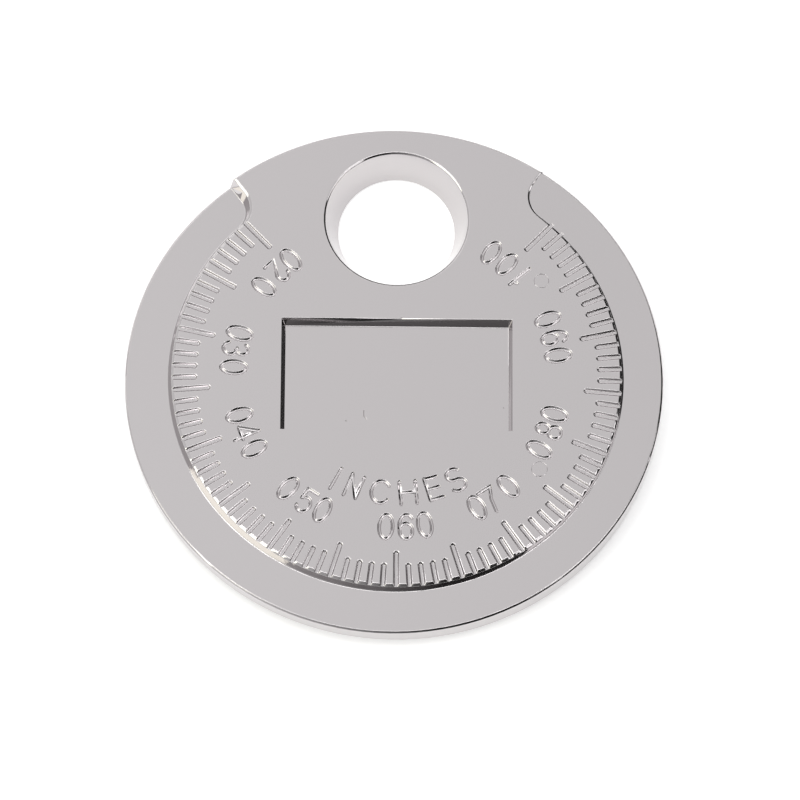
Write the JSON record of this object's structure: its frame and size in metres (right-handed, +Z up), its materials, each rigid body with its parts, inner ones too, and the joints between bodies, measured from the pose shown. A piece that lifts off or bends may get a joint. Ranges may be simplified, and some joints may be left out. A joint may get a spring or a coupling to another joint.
{
  "type": "spark plug gap gauge",
  "caption": "Coin-shaped gauge with a ramped rim: it is slid between two electrodes until it stops, and the mark there is the gap.",
  "frame": {"origin": "centre of the rim, on the plane that the back face rests on", "axes": "+Z up through the front face, +Y towards the tab with the opener hole, -Y towards the scale's middle mark"},
  "size_m": [0.038, 0.038, 0.0027],
  "materials": {
    "plating": "bright nickel-chrome plating over a die casting"
  },
  "bodies": {
    "root": {"gauge_disc": "plating"}
  },
  "joints": []
}
